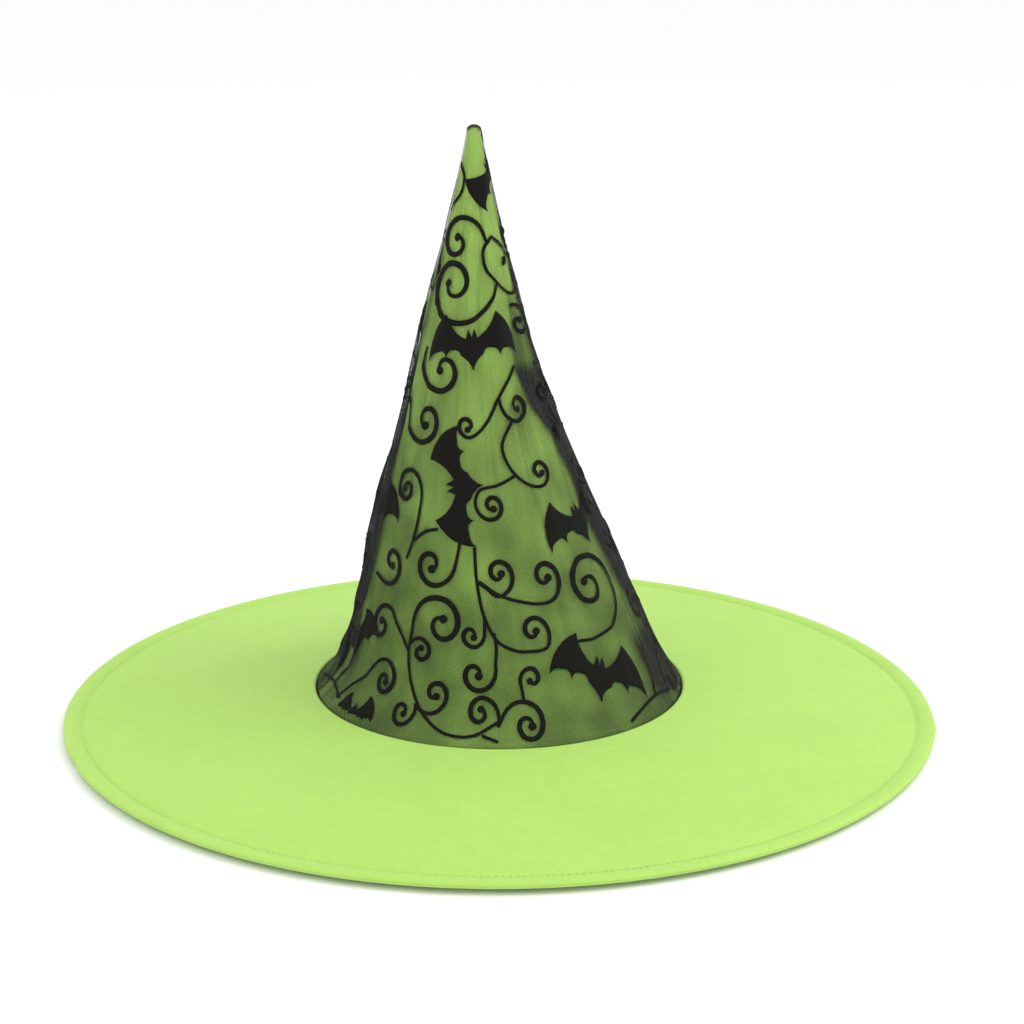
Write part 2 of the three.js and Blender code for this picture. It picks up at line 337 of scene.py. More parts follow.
def link(piece, slotName, *nodes):
    if piece.name not in bpy.context.scene.collection.objects:
        bpy.context.scene.collection.objects.link(piece)
    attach(piece, "root")
    if nodes:
        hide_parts(*nodes)
    return piece


def setSmooth(mesh):
    mesh.polygons.foreach_set("use_smooth", [True] * len(mesh.polygons))


def thicken(piece, thickness, offset=-1):
    solid = piece.modifiers.new("thickness", "SOLIDIFY")
    solid.thickness = thickness
    solid.offset = offset
    return piece


def place(tree, kind, feeds=(), **settings):
    # Adds a node, with its settings, and feeds its sockets from other sockets or with values.
    step = tree.nodes.new(kind)
    for name, value in settings.items():
        setattr(step, name, value)
    for socket, value in dict(feeds).items():
        if isinstance(value, bpy.types.NodeSocket):
            tree.links.new(value, step.inputs[socket])
        else:
            step.inputs[socket].default_value = value
    return step


def sums(tree, operation, first, second=0.0, third=None):
    feeds = {0: first, 1: second}
    if third is not None:
        feeds[2] = third
    return place(tree, "ShaderNodeMath", feeds, operation=operation).outputs[0]


def blended(tree, share, first, second):
    return place(tree, "ShaderNodeMix", {0: share, 6: first, 7: second}, data_type="RGBA").outputs[2]


# Shared effects of the materials
def startGroup(name, inputs, outputs):
    group = bpy.data.node_groups.new(name, "ShaderNodeTree")
    for label, kind, value in inputs:
        socket = group.interface.new_socket(label, in_out="INPUT", socket_type=kind)
        if value is not None:
            socket.default_value = value
    for label in outputs:
        group.interface.new_socket(label, in_out="OUTPUT", socket_type="NodeSocketFloat")
    return group, place(group, "NodeGroupInput").outputs, place(group, "NodeGroupOutput").inputs


def makePlainWeave():
    # Over and under yarns of a plain weave, on coordinates in metres.
    group, given, result = startGroup("plainWeave", [("Vector", "NodeSocketVector", None),
                                                     ("Pitch", "NodeSocketFloat", 0.0004)], ["Height", "Gap"])
    apart = place(group, "ShaderNodeSeparateXYZ", {0: given["Vector"]}).outputs
    warp, weft = [sums(group, "SINE", sums(group, "DIVIDE", sums(group, "MULTIPLY", axis, math.pi),
                                           given["Pitch"])) for axis in (apart[0], apart[1])]
    onTop = sums(group, "GREATER_THAN", sums(group, "MULTIPLY", warp, weft), 0.0)
    warpBody, weftBody = sums(group, "ABSOLUTE", warp), sums(group, "ABSOLUTE", weft)
    mixed = place(group, "ShaderNodeMix", {0: onTop, 2: warpBody, 3: weftBody}, data_type="FLOAT").outputs[0]
    group.links.new(mixed, result["Height"])
    group.links.new(sums(group, "MULTIPLY", sums(group, "SUBTRACT", 1.0, warpBody),
                         sums(group, "SUBTRACT", 1.0, weftBody)), result["Gap"])
    return group


def makeCloud():
    # Broad and fine shade differences, both about 0.5.
    group, given, result = startGroup("clothCloud", [("Vector", "NodeSocketVector", None),
                                                     ("Size", "NodeSocketFloat", 0.05)], ["Broad", "Fine"])
    for label, share, detail in (("Broad", 1.0, 2.0), ("Fine", 0.12, 4.0)):
        scale = sums(group, "DIVIDE", 1.0, sums(group, "MULTIPLY", given["Size"], share))
        texture = place(group, "ShaderNodeTexNoise", {"Vector": given["Vector"], "Scale": scale,
                                                      "Detail": detail})
        group.links.new(texture.outputs[0], result[label])
    return group


def makeFuzz():
    # Short fibres: fine noise over small clumps.
    group, given, result = startGroup("fibreFuzz", [("Vector", "NodeSocketVector", None),
                                                    ("Size", "NodeSocketFloat", 0.0006)], ["Height", "Shade"])
    scale = sums(group, "DIVIDE", 1.0, given["Size"])
    hairs = place(group, "ShaderNodeTexNoise", {"Vector": given["Vector"], "Scale": scale, "Detail": 5.0})
    clumps = place(group, "ShaderNodeTexVoronoi", {"Vector": given["Vector"],
                                                   "Scale": sums(group, "MULTIPLY", scale, 0.4)})
    group.links.new(sums(group, "MULTIPLY", hairs.outputs[0], clumps.outputs["Distance"]), result["Height"])
    group.links.new(hairs.outputs[0], result["Shade"])
    return group


plainWeave, clothCloud, fibreFuzz = makePlainWeave(), makeCloud(), makeFuzz()


def startMaterial(name, roughness, onFlat=False, **settings):
    # A material with its coordinates: the object's own, or the flat pattern's.
    material = bpy.data.materials.new(name)
    material.use_nodes = True
    tree = material.node_tree
    shader = tree.nodes["Principled BSDF"]
    shader.inputs["Roughness"].default_value = roughness
    for label, value in settings.items():
        shader.inputs[label.replace("_", " ")].default_value = value
    if onFlat:
        where = place(tree, "ShaderNodeUVMap", uv_map="flat").outputs[0]
    else:
        where = place(tree, "ShaderNodeTexCoord").outputs["Object"]
    return material, tree, shader, where


def useGroup(tree, group, where, label, value):
    step = place(tree, "ShaderNodeGroup", node_tree=group)
    tree.links.new(where, step.inputs["Vector"])
    step.inputs[label].default_value = value
    return step.outputs


def bump(tree, shader, height, strength, distance):
    raised = place(tree, "ShaderNodeBump", {"Strength": strength, "Distance": distance, "Height": height})
    tree.links.new(raised.outputs[0], shader.inputs["Normal"])


def shaded(tree, share, low, high, colour):
    # The colour, made darker or lighter as share goes from 0 to 1.
    dark, light = [(*(min(1.0, part * factor) for part in colour), 1) for factor in (low, high)]
    return blended(tree, share, dark, light)


def limeCloth(name, colour, onFlat, unevenness):
    material, tree, shader, where = startMaterial(name, 0.82, onFlat, Sheen_Weight=0.08, Sheen_Roughness=0.5)
    weave = useGroup(tree, plainWeave, where, "Pitch", 0.42 * mm)
    cloud = useGroup(tree, clothCloud, where, "Size", 45 * mm)
    broad = shaded(tree, cloud["Broad"], 1 - unevenness, 1 + unevenness, colour)
    slub = shaded(tree, cloud["Fine"], 0.93, 1.07, (0.93, 0.93, 0.93))
    body = place(tree, "ShaderNodeMix", {0: 1.0, 6: broad, 7: slub}, data_type="RGBA",
                 blend_type="MULTIPLY").outputs[2]
    # Painted shade: the cloth's colour is darkened in the gaps between the yarns.
    gapShadeColour = (*(part * 0.72 for part in colour), 1)
    tree.links.new(blended(tree, sums(tree, "MULTIPLY", weave["Gap"], 0.5), body, gapShadeColour),
                   shader.inputs["Base Color"])
    tree.links.new(sums(tree, "MULTIPLY_ADD", cloud["Fine"], 0.16, 0.74), shader.inputs["Roughness"])
    height = sums(tree, "MULTIPLY_ADD", cloud["Fine"], 0.8, sums(tree, "MULTIPLY", weave["Height"], 0.35))
    bump(tree, shader, height, 0.35, 0.16 * mm)
    return material


def blackNet():
    # Open diamond mesh on the flat pattern, closer towards the base.
    material, tree, shader, where = startMaterial("blackNet", 0.9, True, Specular_IOR_Level=0.15)
    apart = place(tree, "ShaderNodeSeparateXYZ", {0: where}).outputs
    pitch = 0.9 * mm
    wobble = useGroup(tree, clothCloud, where, "Size", 25 * mm)
    share = place(tree, "ShaderNodeMapRange", {0: apart[1], 1: 0.1 * slant, 2: 0.95 * slant,
                                               3: netLook["tipShare"], 4: netLook["baseShare"]}).outputs[0]
    share = sums(tree, "MULTIPLY", share, sums(tree, "MULTIPLY_ADD", wobble["Broad"], 1.5, 0.25))
    # Painted shade: the threads grow wider where the net is gathered, and on the flanks beyond the creases
    # and round the sides, which turn from the light.
    gatheredAndShaded = place(tree, "ShaderNodeAttribute", attribute_name="gatherAndShade").outputs["Fac"]
    share = sums(tree, "MULTIPLY_ADD", gatheredAndShaded, netLook["gatheredAndShaded"], share)
    threads = []
    for operation in ("ADD", "SUBTRACT"):
        along = sums(tree, "DIVIDE", sums(tree, operation, apart[0], apart[1]), pitch)
        threads.append(sums(tree, "LESS_THAN", sums(tree, "FRACT", along), share))
    tree.links.new(sums(tree, "MAXIMUM", *threads), shader.inputs["Alpha"])
    tree.links.new(shaded(tree, wobble["Fine"], 0.6, 1.5, netLook["colour"]), shader.inputs["Base Color"])
    return material


def fuzzy(name, colour, roughness, size, depth, low=0.75, high=1.25, **settings):
    material, tree, shader, where = startMaterial(name, roughness, **settings)
    fuzz = useGroup(tree, fibreFuzz, where, "Size", size)
    tree.links.new(shaded(tree, fuzz["Shade"], low, high, colour), shader.inputs["Base Color"])
    bump(tree, shader, fuzz["Height"], 0.6, depth)
    return material


def thread(name, colour):
    material, tree, shader, where = startMaterial(name, 0.55, Sheen_Weight=0.1)
    cloud = useGroup(tree, clothCloud, where, "Size", 4 * mm)
    tree.links.new(shaded(tree, cloud["Fine"], 0.75, 1.2, colour), shader.inputs["Base Color"])
    bump(tree, shader, cloud["Fine"], 0.5, 0.08 * mm)
    return material


def bandTape():
    # Ribbed tape, with the ribs across it.
    material, tree, shader, where = startMaterial("bandTape", 0.8, True, Sheen_Weight=0.1)
    apart = place(tree, "ShaderNodeSeparateXYZ", {0: where}).outputs
    rib = sums(tree, "ABSOLUTE", sums(tree, "SINE", sums(tree, "MULTIPLY", apart[0], math.pi / (0.8 * mm))))
    cloud = useGroup(tree, clothCloud, where, "Size", 12 * mm)
    # Painted shade in the grooves between the ribs, darker where each rib dips, with some random tone.
    ribShadeAndTone = sums(tree, "MULTIPLY", rib, sums(tree, "ADD", cloud["Fine"], 0.4))
    tree.links.new(shaded(tree, ribShadeAndTone, 0.55, 1.5, (0.014, 0.014, 0.014)), shader.inputs["Base Color"])
    bump(tree, shader, rib, 0.6, 0.25 * mm)
    return material


def hardFinish(name, colour, roughness, metallic):
    # Drawn wire or moulded tube: fine marks and uneven gloss.
    material, tree, shader, where = startMaterial(name, roughness, Metallic=metallic)
    cloud = useGroup(tree, clothCloud, where, "Size", 5 * mm)
    tree.links.new(shaded(tree, cloud["Fine"], 0.8, 1.15, colour), shader.inputs["Base Color"])
    tree.links.new(sums(tree, "MULTIPLY_ADD", cloud["Broad"], 0.2, roughness - 0.1),
                   shader.inputs["Roughness"])
    bump(tree, shader, cloud["Fine"], 0.2, 0.03 * mm)
    return material


# The last value sets how much the threads widen where the net is gathered and where shade is painted on it.
netLook = {"colour": (0.020, 0.018, 0.022), "tipShare": 0.085, "baseShare": 0.23, "gatheredAndShaded": 0.5}
limeColour = (0.455, 0.745, 0.138)
brimLime = limeCloth("brimLime", limeColour, False, 0.05)
crownLime = limeCloth("crownLime", limeColour, True, 0.18)
netBlack = blackNet()
flockBlack = fuzzy("flockBlack", (0.0078, 0.0072, 0.0062), 0.95, 0.45 * mm, 0.12 * mm, 0.5, 1.6,
                   Specular_IOR_Level=0.12, Sheen_Weight=0.03)
nonWoven = fuzzy("nonWoven", (0.74, 0.75, 0.70), 0.95, 1.4 * mm, 0.3 * mm, 0.85, 1.1)
limeThread = thread("limeThread", (0.42, 0.70, 0.16))
blackThread = thread("blackThread", (0.012, 0.012, 0.012))
tapeBlack = bandTape()
labelSatin = fuzzy("labelSatin", (0.85, 0.85, 0.82), 0.45, 0.5 * mm, 0.05 * mm, 0.95, 1.03)
wireSteel = hardFinish("wireSteel", (0.55, 0.56, 0.57), 0.35, 1.0)
sleeveBlack = hardFinish("sleeveBlack", (0.016, 0.017, 0.018), 0.5, 0.0)
print("materials ready")


# Geometry Nodes: each tree grows a finished mesh from a guide made of points and edges.
def startTree(name, inputs):
    tree = bpy.data.node_groups.new(name, "GeometryNodeTree")
    tree.interface.new_socket("Geometry", in_out="INPUT", socket_type="NodeSocketGeometry")
    for label, kind, value in inputs + [("Material", "Material", None)]:
        socket = tree.interface.new_socket(label, in_out="INPUT", socket_type="NodeSocket" + kind)
        if value is not None:
            socket.default_value = value
    tree.interface.new_socket("Geometry", in_out="OUTPUT", socket_type="NodeSocketGeometry")
    return tree, place(tree, "NodeGroupInput").outputs


def endTree(tree, given, shape):
    whole = place(tree, "GeometryNodeRealizeInstances", {"Geometry": shape}).outputs[0]
    soft = place(tree, "GeometryNodeSetShadeSmooth", {"Geometry": whole}).outputs[0]
    done = place(tree, "GeometryNodeSetMaterial", {"Geometry": soft,
                                                   "Material": given["Material"]}).outputs[0]
    place(tree, "NodeGroupOutput", {"Geometry": done})
    return tree


def noted(tree, name, kind="FLOAT"):
    return place(tree, "GeometryNodeInputNamedAttribute", {"Name": name}, data_type=kind).outputs[0]


def makeGuide(name, points, edges, floats=(), vectors=()):
    mesh = bpy.data.meshes.new(name)
    mesh.from_pydata(points, edges, [])
    for label, values in dict(floats).items():
        mesh.attributes.new(label, "FLOAT", "POINT").data.foreach_set("value", values)
    for label, values in dict(vectors).items():
        flat = [part for value in values for part in value]
        mesh.attributes.new(label, "FLOAT_VECTOR", "POINT").data.foreach_set("vector", flat)
    return mesh


def growMesh(name, guide, tree, values):
    holder = bpy.data.objects.new(name, guide)
    bpy.context.scene.collection.objects.link(holder)
    modifier = holder.modifiers.new("grow", "NODES")
    modifier.node_group = tree
    for item in tree.interface.items_tree:
        if item.in_out == "INPUT" and item.name in values:
            modifier[item.identifier] = values[item.name]
    bpy.context.view_layer.update()
    grown = holder.evaluated_get(bpy.context.evaluated_depsgraph_get())
    mesh = bpy.data.meshes.new_from_object(grown)
    holder.modifiers.remove(modifier)
    holder.data = mesh
    return holder


def makeBrimLayer():
    # A ring of cloth from its section, with long waves, puckers at the stitching and pull at the crown.
    tree, given = startTree("brimLayer", [
        ("Around", "Int", 480), ("Wave Height", "Float", 0.0), ("Pucker Height", "Float", 0.0),
        ("Pull Height", "Float", 0.0), ("Seed", "Float", 0.0)])
    rows = place(tree, "GeometryNodeAttributeDomainSize", {"Geometry": given["Geometry"]}).outputs[0]
    grid = place(tree, "GeometryNodeMeshGrid", {"Vertices X": sums(tree, "ADD", given["Around"], 1.0),
                                                "Vertices Y": rows}).outputs["Mesh"]
    index = sums(tree, "ADD", place(tree, "GeometryNodeInputIndex").outputs[0], 0.5)
    row = sums(tree, "MODULO", index, rows)
    column = sums(tree, "FLOOR", sums(tree, "DIVIDE", index, rows))

    def atRow(value, kind):
        feeds = {"Geometry": given["Geometry"], "Value": value, "Index": row}
        return place(tree, "GeometryNodeSampleIndex", feeds, data_type=kind).outputs[0]

    section = place(tree, "ShaderNodeSeparateXYZ",
                    {0: atRow(place(tree, "GeometryNodeInputPosition").outputs[0], "FLOAT_VECTOR")}).outputs
    turn = sums(tree, "MULTIPLY", sums(tree, "DIVIDE", column, given["Around"]), 2 * math.pi)
    cosine, sine = sums(tree, "COSINE", turn), sums(tree, "SINE", turn)
    across = sums(tree, "MULTIPLY", section[0], cosine)
    deep = sums(tree, "MULTIPLY", section[0], sine)

    def unevenness(x, y, z, scale):
        where = place(tree, "ShaderNodeCombineXYZ", {0: x, 1: y, 2: z}).outputs[0]
        texture = place(tree, "ShaderNodeTexNoise", {"Vector": where, "Scale": scale, "Detail": 1.0})
        return sums(tree, "MULTIPLY_ADD", texture.outputs[0], 2.0, -1.0)

    height = section[2]
    farther = sums(tree, "MULTIPLY", section[0], 20.0)
    for size, label, (x, y, z), scale in (
        ("Wave Height", "wave", (across, deep, given["Seed"]), 11.0),
        ("Pucker Height", "pucker", (cosine, sine, given["Seed"]), 38.0),
        ("Pull Height", "pull", (cosine, sine, farther), 6.0),
    ):
        strength = sums(tree, "MULTIPLY", given[size], atRow(noted(tree, label), "FLOAT"))
        height = sums(tree, "MULTIPLY_ADD", unevenness(x, y, z, scale), strength, height)
    where = place(tree, "ShaderNodeCombineXYZ", {0: across, 1: deep, 2: height}).outputs[0]
    ring = place(tree, "GeometryNodeSetPosition", {"Geometry": grid, "Position": where}).outputs[0]
    ring = place(tree, "GeometryNodeMergeByDistance", {"Geometry": ring, "Distance": 0.002 * mm}).outputs[0]
    return endTree(tree, given, ring)


def makeStitchRun():
    # Stitches along a line: arched bits of thread whose ends dip into the cloth.
    tree, given = startTree("stitchRun", [
        ("Stitch Length", "Float", 2.6 * mm), ("Gap", "Float", 0.5 * mm), ("Thread", "Float", 0.4 * mm),
        ("Arch", "Float", 0.25 * mm), ("Dip", "Float", 0.35 * mm), ("Seed", "Int", 1)])
    line = place(tree, "GeometryNodeMeshToCurve", {"Mesh": given["Geometry"]}).outputs[0]
    pitch = sums(tree, "ADD", given["Stitch Length"], given["Gap"])
    places = place(tree, "GeometryNodeResampleCurve", {"Curve": line, "Length": pitch},
                   mode="LENGTH").outputs[0]
    half = sums(tree, "MULTIPLY", given["Stitch Length"], 0.5)
    down = sums(tree, "MULTIPLY", given["Dip"], -1.0)
    ends = [place(tree, "ShaderNodeCombineXYZ", {0: end, 2: down}).outputs[0]
            for end in (sums(tree, "MULTIPLY", half, -1.0), half)]
    top = place(tree, "ShaderNodeCombineXYZ", {
        2: sums(tree, "MULTIPLY_ADD", given["Arch"], 2.0, given["Dip"])})
    arc = place(tree, "GeometryNodeCurveQuadraticBezier", {
        "Resolution": 5, "Start": ends[0], "Middle": top.outputs[0], "End": ends[1]}).outputs[0]
    strand = place(tree, "GeometryNodeCurvePrimitiveCircle", {"Resolution": 6, "Radius": sums(
        tree, "MULTIPLY", given["Thread"], 0.5)}).outputs[0]
    stitch = place(tree, "GeometryNodeCurveToMesh", {"Curve": arc, "Profile Curve": strand,
                                                     "Fill Caps": True}).outputs[0]
    ahead = place(tree, "GeometryNodeInputTangent").outputs[0]
    facing = place(tree, "FunctionNodeAlignRotationToVector", {"Vector": ahead}, axis="X").outputs[0]
    facing = place(tree, "FunctionNodeAlignRotationToVector", {
        "Rotation": facing, "Vector": noted(tree, "up", "FLOAT_VECTOR")}, axis="Z", pivot_axis="X").outputs[0]
    jitter = place(tree, "FunctionNodeRandomValue", {2: 0.92, 3: 1.05, "Seed": given["Seed"]},
                   data_type="FLOAT").outputs[1]
    row = place(tree, "GeometryNodeInstanceOnPoints", {"Points": places, "Instance": stitch,
                                                       "Rotation": facing, "Scale": jitter}).outputs[0]
    return endTree(tree, given, row)


def makeStrand():
    # A round strand along a line: wire and hand-wound thread.
    tree, given = startTree("roundStrand", [("Width", "Float", mm), ("Sides", "Int", 8),
                                            ("Closed Ends", "Bool", True)])
    line = place(tree, "GeometryNodeMeshToCurve", {"Mesh": given["Geometry"]}).outputs[0]
    section = place(tree, "GeometryNodeCurvePrimitiveCircle", {
        "Resolution": given["Sides"], "Radius": sums(tree, "MULTIPLY", given["Width"], 0.5)}).outputs[0]
    strand = place(tree, "GeometryNodeCurveToMesh", {"Curve": line, "Profile Curve": section,
                                                     "Fill Caps": given["Closed Ends"]})
    return endTree(tree, given, strand.outputs[0])


def makeFlockStroke():
    # Flock printed along lines: a low ridge as wide as each point asks, with a round dot at each eye.
    tree, given = startTree("flockStroke", [("Pile", "Float", 0.3 * mm), ("Sides", "Int", 8)])
    line = place(tree, "GeometryNodeMeshToCurve", {"Mesh": given["Geometry"]}).outputs[0]
    outward = noted(tree, "up", "FLOAT_VECTOR")
    line = place(tree, "GeometryNodeSetCurveNormal", {"Curve": line, "Normal": outward},
                 mode="FREE").outputs[0]
    section = place(tree, "GeometryNodeCurvePrimitiveCircle", {"Resolution": given["Sides"], "Radius": 1.0})
    flatten = place(tree, "ShaderNodeCombineXYZ", {0: 0.17, 1: 1.0, 2: 1.0}).outputs[0]
    section = place(tree, "GeometryNodeTransform", {"Geometry": section.outputs[0],
                                                    "Scale": flatten}).outputs[0]
    ridge = place(tree, "GeometryNodeCurveToMesh", {
        "Curve": line, "Profile Curve": section, "Scale": noted(tree, "halfWidth"),
        "Fill Caps": True}).outputs[0]
    eye = noted(tree, "eye")
    ball = place(tree, "GeometryNodeMeshUVSphere", {"Segments": 12, "Rings": 6,
                                                    "Radius": 1.0}).outputs["Mesh"]
    facing = place(tree, "FunctionNodeAlignRotationToVector", {"Vector": outward}, axis="Z").outputs[0]
    size = place(tree, "ShaderNodeCombineXYZ", {0: eye, 1: eye, 2: given["Pile"]}).outputs[0]
    isEye = place(tree, "FunctionNodeCompare", {0: eye, 1: 0.0}, data_type="FLOAT",
                  operation="GREATER_THAN").outputs[0]
    dots = place(tree, "GeometryNodeInstanceOnPoints", {
        "Points": given["Geometry"], "Selection": isEye, "Instance": ball, "Rotation": facing,
        "Scale": size}).outputs[0]
    both = place(tree, "GeometryNodeJoinGeometry")
    tree.links.new(ridge, both.inputs[0])
    tree.links.new(dots, both.inputs[0])
    return endTree(tree, given, both.outputs[0])


brimLayer, stitchRun = makeBrimLayer(), makeStitchRun()
roundStrand, flockStroke = makeStrand(), makeFlockStroke()
print("node trees ready")


# Camera, light and stage
def buildStudio():
    camera = bpy.data.objects.new("camera", bpy.data.cameras.new("camera"))
    camera.data.lens = cameraSetup["lens"]
    camera.data.clip_end = 20
    camera.location = cameraSetup["place"]
    camera.rotation_euler = (math.radians(cameraSetup["pitch"]), 0, 0)
    bpy.context.scene.collection.objects.link(camera)
    bpy.context.scene.camera = camera
    world = bpy.data.worlds.new("studio")
    world.use_nodes = True
    world.node_tree.nodes["Background"].inputs["Color"].default_value = (1, 1, 1, 1)
    world.node_tree.nodes["Background"].inputs["Strength"].default_value = 1.0
    bpy.context.scene.world = world
    bpy.context.scene.view_settings.view_transform = "Standard"
    for name, at, size, power in (
        ("keyLight", (1.3, -0.2, 1.5), 1.2, 12),
        ("fillLight", (-1.1, -0.9, 1.4), 1.2, 3),
    ):
        light = bpy.data.lights.new(name, "AREA")
        light.size = size
        light.energy = power
        lamp = bpy.data.objects.new(name, light)
        lamp.location = at
        lamp.rotation_euler = (Vector((0, 0, 0.1)) - Vector(at)).to_track_quat("-Z", "Y").to_euler()
        bpy.context.scene.collection.objects.link(lamp)
    floorMesh = bpy.data.meshes.new("floor")
    half = 12
    floorMesh.from_pydata([(-half, -half, 0), (half, -half, 0), (half, half, 0), (-half, half, 0)], [],
                          [(0, 1, 2, 3)])
    floorMesh.materials.append(fuzzy("paleFloor", (0.97, 0.97, 0.97), 0.9, 20 * mm, 0.02 * mm, 0.99, 1.01))
    floor = bpy.data.objects.new("floor", floorMesh)
    bpy.context.scene.collection.objects.link(floor)


buildStudio()


# Brim: two cloths with a stiffener between them
brimCloth = {
    "thickness": 0.5 * mm,
    "around": 480,
    "rows": 26,
    "wave": 0.45 * mm,
    "pucker": 0.22 * mm,
    "puckerReach": 3.2 * mm,
    "pull": 0.28 * mm,
    "edgeRound": 2.0 * mm,
    "plainFrom": stitchRadius - 2.5 * mm,  # inside the channel the cloth runs straight up to the crown
    "plainHeight": 3.0 * mm,
    "turnedIn": 8 * mm,  # allowance at the outer edge
    "turnedDown": 10 * mm,  # and at the opening
}


def brimRows(toHole):
    # Radii of the plain part of the brim.
    outer, rows = stitchRadius - 3 * mm, brimCloth["rows"]
    return [outer + (toHole - outer) * (row / rows) for row in range(rows + 1)]


def growBrim(name, section, material, seed, waves=1.0, puckers=1.0):
    breadth = brimRadius - crownRadius
    wave = [math.sin(math.pi * min(1, max(0, (r - crownRadius) / breadth))) for r, _ in section]
    pucker = [bell(r, stitchRadius, brimCloth["puckerReach"]) for r, _ in section]
    pullFull = openingRadius + 8 * mm
    pull = [smooth(r, openingRadius, pullFull) * (1 - smooth(r, pullFull, 165 * mm)) for r, _ in section]
    guide = makeGuide(name, [(r, 0, z) for r, z in section], [(i, i + 1) for i in range(len(section) - 1)],
                      {"wave": wave, "pucker": pucker, "pull": pull})
    piece = growMesh(name, guide, brimLayer, {
        "Around": brimCloth["around"], "Wave Height": brimCloth["wave"] * waves,
        "Pucker Height": brimCloth["pucker"] * puckers, "Pull Height": brimCloth["pull"] * waves,
        "Seed": seed, "Material": material})
    return settle(piece)


def topHeight(radius):
    outer, low = brimCloth["plainFrom"], brimCloth["plainHeight"]
    return low + (seamHeight - low) * (outer - radius) / (outer - openingRadius)


stitchTop = 2.05 * mm
topSection = [(brimRadius, rimMiddle + 0.03 * mm)]
for step in range(1, 6):
    angle = math.radians(18 * step)
    topSection.append((brimRadius - brimCloth["edgeRound"] * (1 - math.cos(angle)),
                       rimMiddle + (rimTop - rimMiddle) * math.sin(angle)))
topSection += [(wireRadius, rimTop + 0.1 * mm), (210.3 * mm, rimTop - 0.1 * mm), (209 * mm, 2.9 * mm),
               (208 * mm, 2.5 * mm), (207.4 * mm, 2.2 * mm), (stitchRadius, stitchTop),
               (206.5 * mm, 2.25 * mm), (205.6 * mm, 2.7 * mm)]
topSection += [(radius, topHeight(radius)) for radius in brimRows(openingRadius + 1.6 * mm)]
topSection += [(openingRadius + 0.8 * mm, seamHeight - 0.1 * mm),
               (openingRadius + 0.2 * mm, seamHeight - 0.6 * mm),
               (openingRadius, seamHeight - 1.6 * mm), (openingRadius, seamHeight - 4 * mm),
               (openingRadius, allowanceEnd)]
underSection = [(radius, topHeight(radius) - 2.4 * mm) for radius in brimRows(openingRadius + 0.9 * mm)]
underSection = underSection[::-1]
underSection += [(205.8 * mm, 0.75 * mm), (stitchRadius, 1.0 * mm), (208 * mm, 0.7 * mm),
                 (209.2 * mm, 0.15 * mm), (210 * mm, 0.02 * mm), (wireRadius, 0.0), (213.6 * mm, 0.02 * mm)]
for step in range(1, 6):
    angle = math.radians(18 * step)
    underSection.append((brimRadius - brimCloth["edgeRound"] * (1 - math.sin(angle)),
                         (rimMiddle - 0.03 * mm) * (1 - math.cos(angle))))

brimTop = link(growBrim("brim_top_panel", topSection, brimLime, 3.0), "lime_cloth", "brim_top_cloth")
thicken(brimTop, brimCloth["thickness"])
brimUnder = link(growBrim("brim_under_panel", underSection, brimLime, 3.0, 0.6),
                 "lime_cloth", "brim_under_cloth")
thicken(brimUnder, brimCloth["thickness"])
liningSection = [(radius, topHeight(radius) - 1.35 * mm) for radius in brimRows(openingRadius + 0.9 * mm)]
brimLining = link(growBrim("brim_stiffener_ring", liningSection, nonWoven, 3.0, 0.8, 0.0), "non_woven",
                  "brim_stiffener")
thicken(brimLining, 0.5 * mm, 0)
print("brim cloths made")


def ringLine(name, radius, height, up, count=240, leaveOut=0.0, start=0.0, onBrim=True):
    # A line round the hat; up is (outwards, upwards). leaveOut is the length left open, which lies at the
    # join of the hoop, or as far round from it as start says.
    halfOpen = leaveOut / radius / 2
    points, ups = [], []
    for step in range(count):
        turn = joinTurn + start + halfOpen
        turn += (2 * math.pi - 2 * halfOpen) * step / (count - 1 if leaveOut else count)
        point = Vector((radius * math.cos(turn), radius * math.sin(turn), height))
        points.append(settled(point) if onBrim else point)
        ups.append((up[0] * math.cos(turn), up[0] * math.sin(turn), up[1]))
    edges = [(step, step + 1) for step in range(count - 1)]
    if not leaveOut:
        edges.append((count - 1, 0))
    return makeGuide(name, points, edges, vectors={"up": ups})


def sewn(name, guide, material, slotName, node, **values):
    values = {label.replace("_", " "): value for label, value in values.items()}
    return link(growMesh(name, guide, stitchRun, {"Thread": threadSize, "Material": material, **values}),
                slotName, node)


hoop = growMesh("brim_edge_hoop", ringLine("hoop", wireRadius, rimMiddle, (0, 1), 400, 1.5 * mm), roundStrand,
                {"Width": wireSize, "Sides": 10, "Material": wireSteel})
link(hoop, "spring_steel", "brim_edge_wire")
sleeveSet = {"outside": 2.2 * mm, "wall": 0.3 * mm, "length": 30 * mm}
sleeveLine = ringLine("sleeve", wireRadius, rimMiddle, (0, 1), 24,
                      2 * math.pi * wireRadius - sleeveSet["length"], start=math.pi)
sleeve = growMesh("wire_join_sleeve", sleeveLine, roundStrand, {
    "Width": sleeveSet["outside"], "Sides": 16, "Closed Ends": False, "Material": sleeveBlack})
link(thicken(sleeve, sleeveSet["wall"]), "sleeve_plastic", "wire_end_sleeve")
sewn("channel_needle_stitches", ringLine("needle", stitchRadius, stitchTop, (0, 1)),
     limeThread, "lime_thread", "channel_needle_thread", Seed=2)
sewn("channel_bobbin_stitches", ringLine("bobbin", stitchRadius, bobbinBox[1].z + 0.25 * mm, (0, -1)),
     limeThread, "lime_thread", "channel_bobbin_thread", Arch=0.15 * mm, Seed=3)
sewn("edge_seam_stitches", ringLine("edge", brimRadius - 1.2 * mm, rimMiddle, (-1, 0)),
     limeThread, "lime_thread", "edge_seam_thread", Arch=0.1 * mm, Dip=0.1 * mm, Seed=4)
print("brim edge made")


